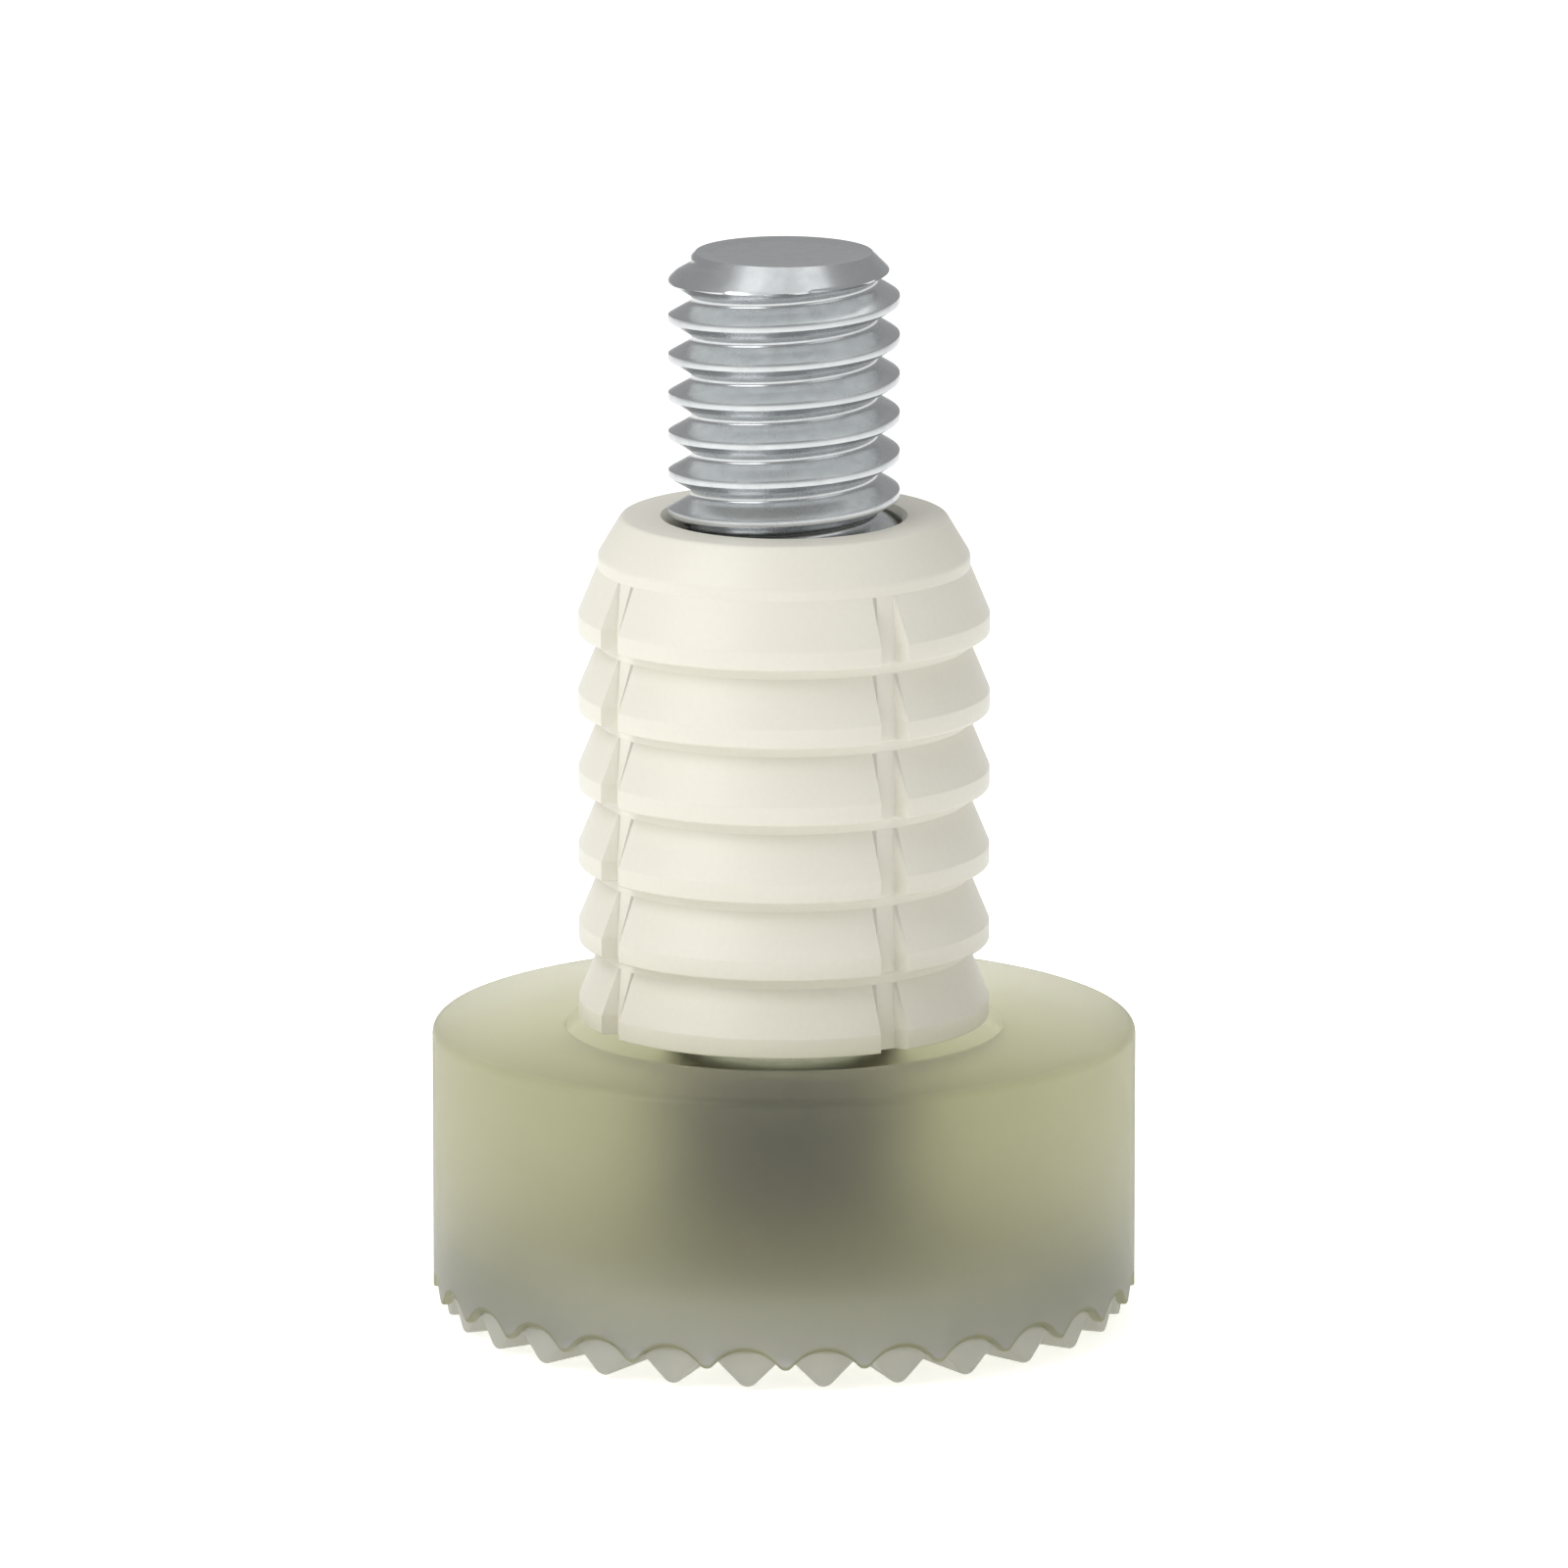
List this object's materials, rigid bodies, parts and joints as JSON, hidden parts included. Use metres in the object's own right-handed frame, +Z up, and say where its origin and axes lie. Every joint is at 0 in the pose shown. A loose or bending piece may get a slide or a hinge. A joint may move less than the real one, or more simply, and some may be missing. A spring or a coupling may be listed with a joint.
{
  "type": "furniture leveling foot",
  "caption": "Screw-in leveling foot for an 18 mm furniture panel: translucent toothed plastic foot on a steel stem, with a knock-in threaded sleeve and a floor disc.",
  "frame": {"origin": "centre of the floor contact, at the bottom of the part's box, with the foot screwed fully home", "axes": "+Z up along the stem; +Y is the length of the panel edge that the foot sits in and +X goes across that edge"},
  "size_m": [0.018, 0.018, 0.0276],
  "materials": {
    "natural_polyamide": "moulded, satin, milky translucent with a faint yellow-green tint",
    "zinc_plated_steel": "rolled thread, bright zinc plating",
    "white_polyamide": "moulded, opaque off-white, satin",
    "white_acetal": "moulded, smooth and slightly waxy"
  },
  "bodies": {
    "insert": {"insert_sleeve": "white_polyamide"},
    "floor_disc": {"glide_disc": "white_acetal"},
    "foot": {"toothed_body": "natural_polyamide", "threaded_stem": "zinc_plated_steel"}
  },
  "joints": [
    {"name": "height_adjust", "type": "slide", "parent": "floor_disc", "child": "insert", "axis": [0, 0, 1], "range_m": [0, 0.012]},
    {"name": "foot_turn", "type": "hinge", "parent": "floor_disc", "child": "foot", "pos_m": [0, 0, 0], "axis": [0, 0, -1], "range_deg": [0, 4320]}
  ],
  "couplings": [
    {"joint": "height_adjust", "follows": "foot_turn", "m_per_rad": 0.00015915}
  ]
}
